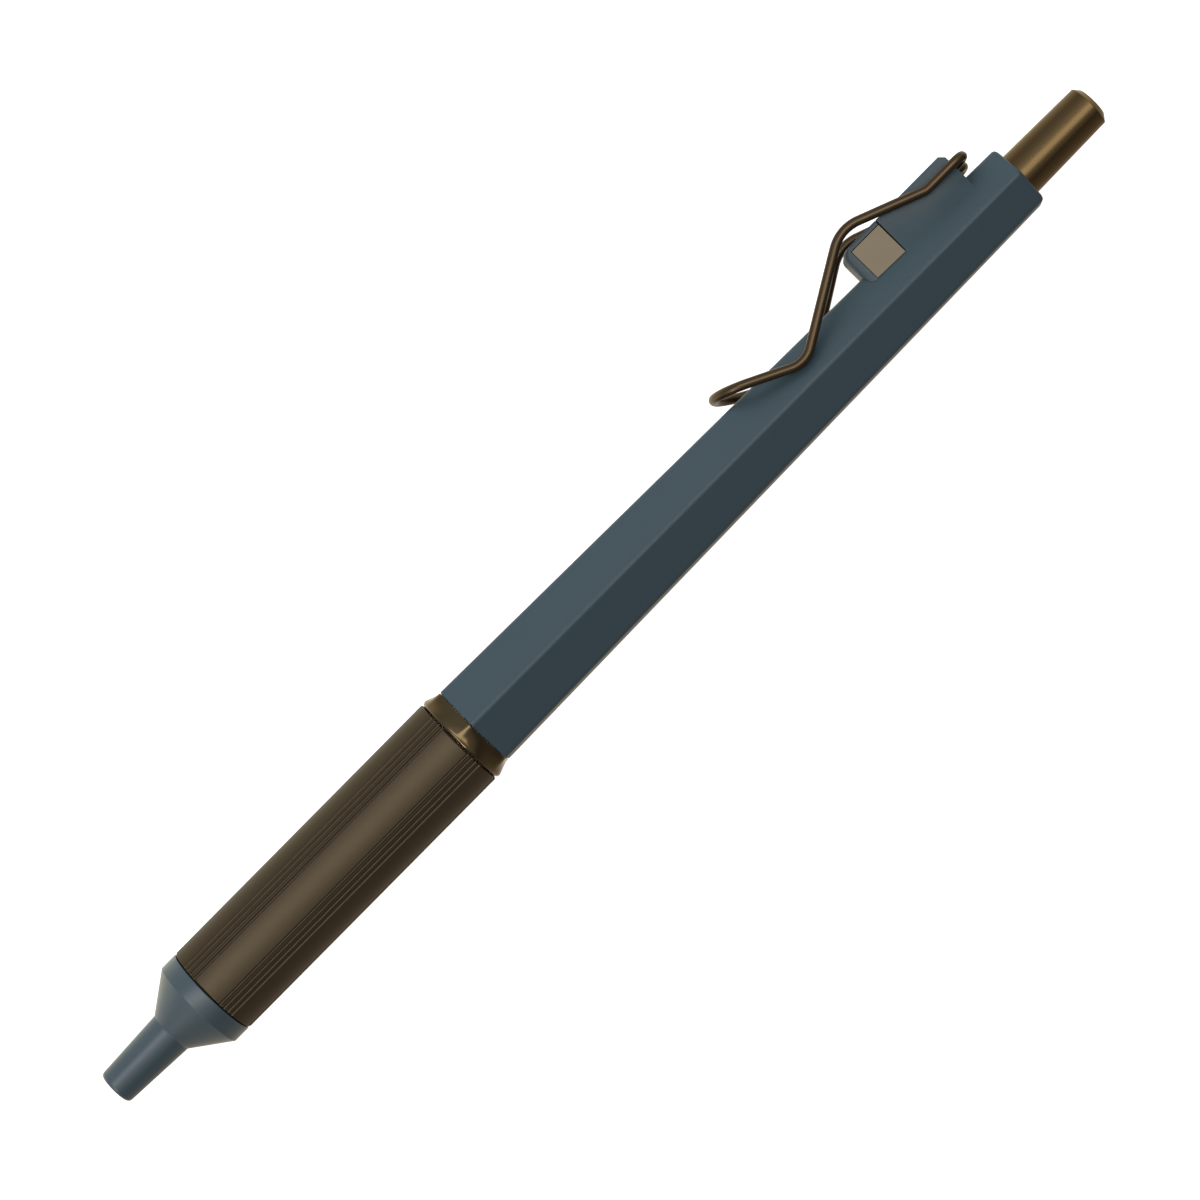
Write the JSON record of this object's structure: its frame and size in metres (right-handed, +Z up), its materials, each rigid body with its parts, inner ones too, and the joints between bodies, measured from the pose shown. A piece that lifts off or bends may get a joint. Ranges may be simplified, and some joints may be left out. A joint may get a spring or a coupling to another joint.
{
  "type": "retractable ballpoint pen",
  "caption": "Slim click ballpoint pen with a hexagonal tapered barrel, a grooved metal grip, a cone nozzle and a bent wire clip; it writes and clips to a pocket.",
  "frame": {"origin": "under the middle of the pen as it lies on its side, on the surface that it lies on", "axes": "+X along the pen from the writing tip to the push button, +Y towards the clip, +Z up"},
  "size_m": [0.143, 0.0146, 0.0108],
  "materials": {
    "blue_paint": "satin",
    "blue_plastic": "satin",
    "satin_bronze": "satin",
    "gloss_bronze": "gloss",
    "warm_grey_metal": "satin",
    "bronze_wire": "satin",
    "white_plastic": "satin",
    "clear_plastic": "gloss",
    "spring_steel": "satin",
    "tip_steel": "polished",
    "ball_carbide": "polished",
    "ink": "gloss",
    "grease": "gloss"
  },
  "bodies": {
    "pen_body": {"nozzle": "blue_paint", "grip_sleeve": "satin_bronze", "grip_liner": "white_plastic", "coupling_ring": "gloss_bronze", "joint_collar": "white_plastic", "barrel": "blue_plastic", "clip_block_nose": "blue_plastic", "nose_inlay": "warm_grey_metal", "cam_guide": "white_plastic", "return_spring": "spring_steel"},
    "knock": {"push_button": "satin_bronze", "knock_plunger": "white_plastic"},
    "refill": {"rotor_cam": "white_plastic", "refill_tip": "tip_steel", "writing_ball": "ball_carbide", "refill_joint": "clear_plastic", "backflow_ball": "tip_steel", "refill_tube": "clear_plastic", "ink_column": "ink", "ink_follower": "grease"},
    "clip": {"clip_wire": "bronze_wire"}
  },
  "joints": [
    {"name": "knock_press", "type": "slide", "parent": "pen_body", "child": "knock", "axis": [-1, 0, 0], "range_m": [0, 0.006], "stiffness_N_per_m": 260, "springref_m": -0.004},
    {"name": "refill_slide", "type": "slide", "parent": "pen_body", "child": "refill", "axis": [-1, 0, 0], "range_m": [0, 0.006], "deforming": ["return_spring"]},
    {"name": "clip_lift", "type": "hinge", "parent": "pen_body", "child": "clip", "pos_m": [0.05505, 0.00334, 0.00542], "axis": [0, 0, -1], "range_deg": [0, 8], "stiffness_Nm_per_rad": 0.1, "springref_deg": -2.86}
  ],
  "couplings": [
    {"joint": "refill_slide", "follows": "knock_press", "ratio": 1}
  ]
}
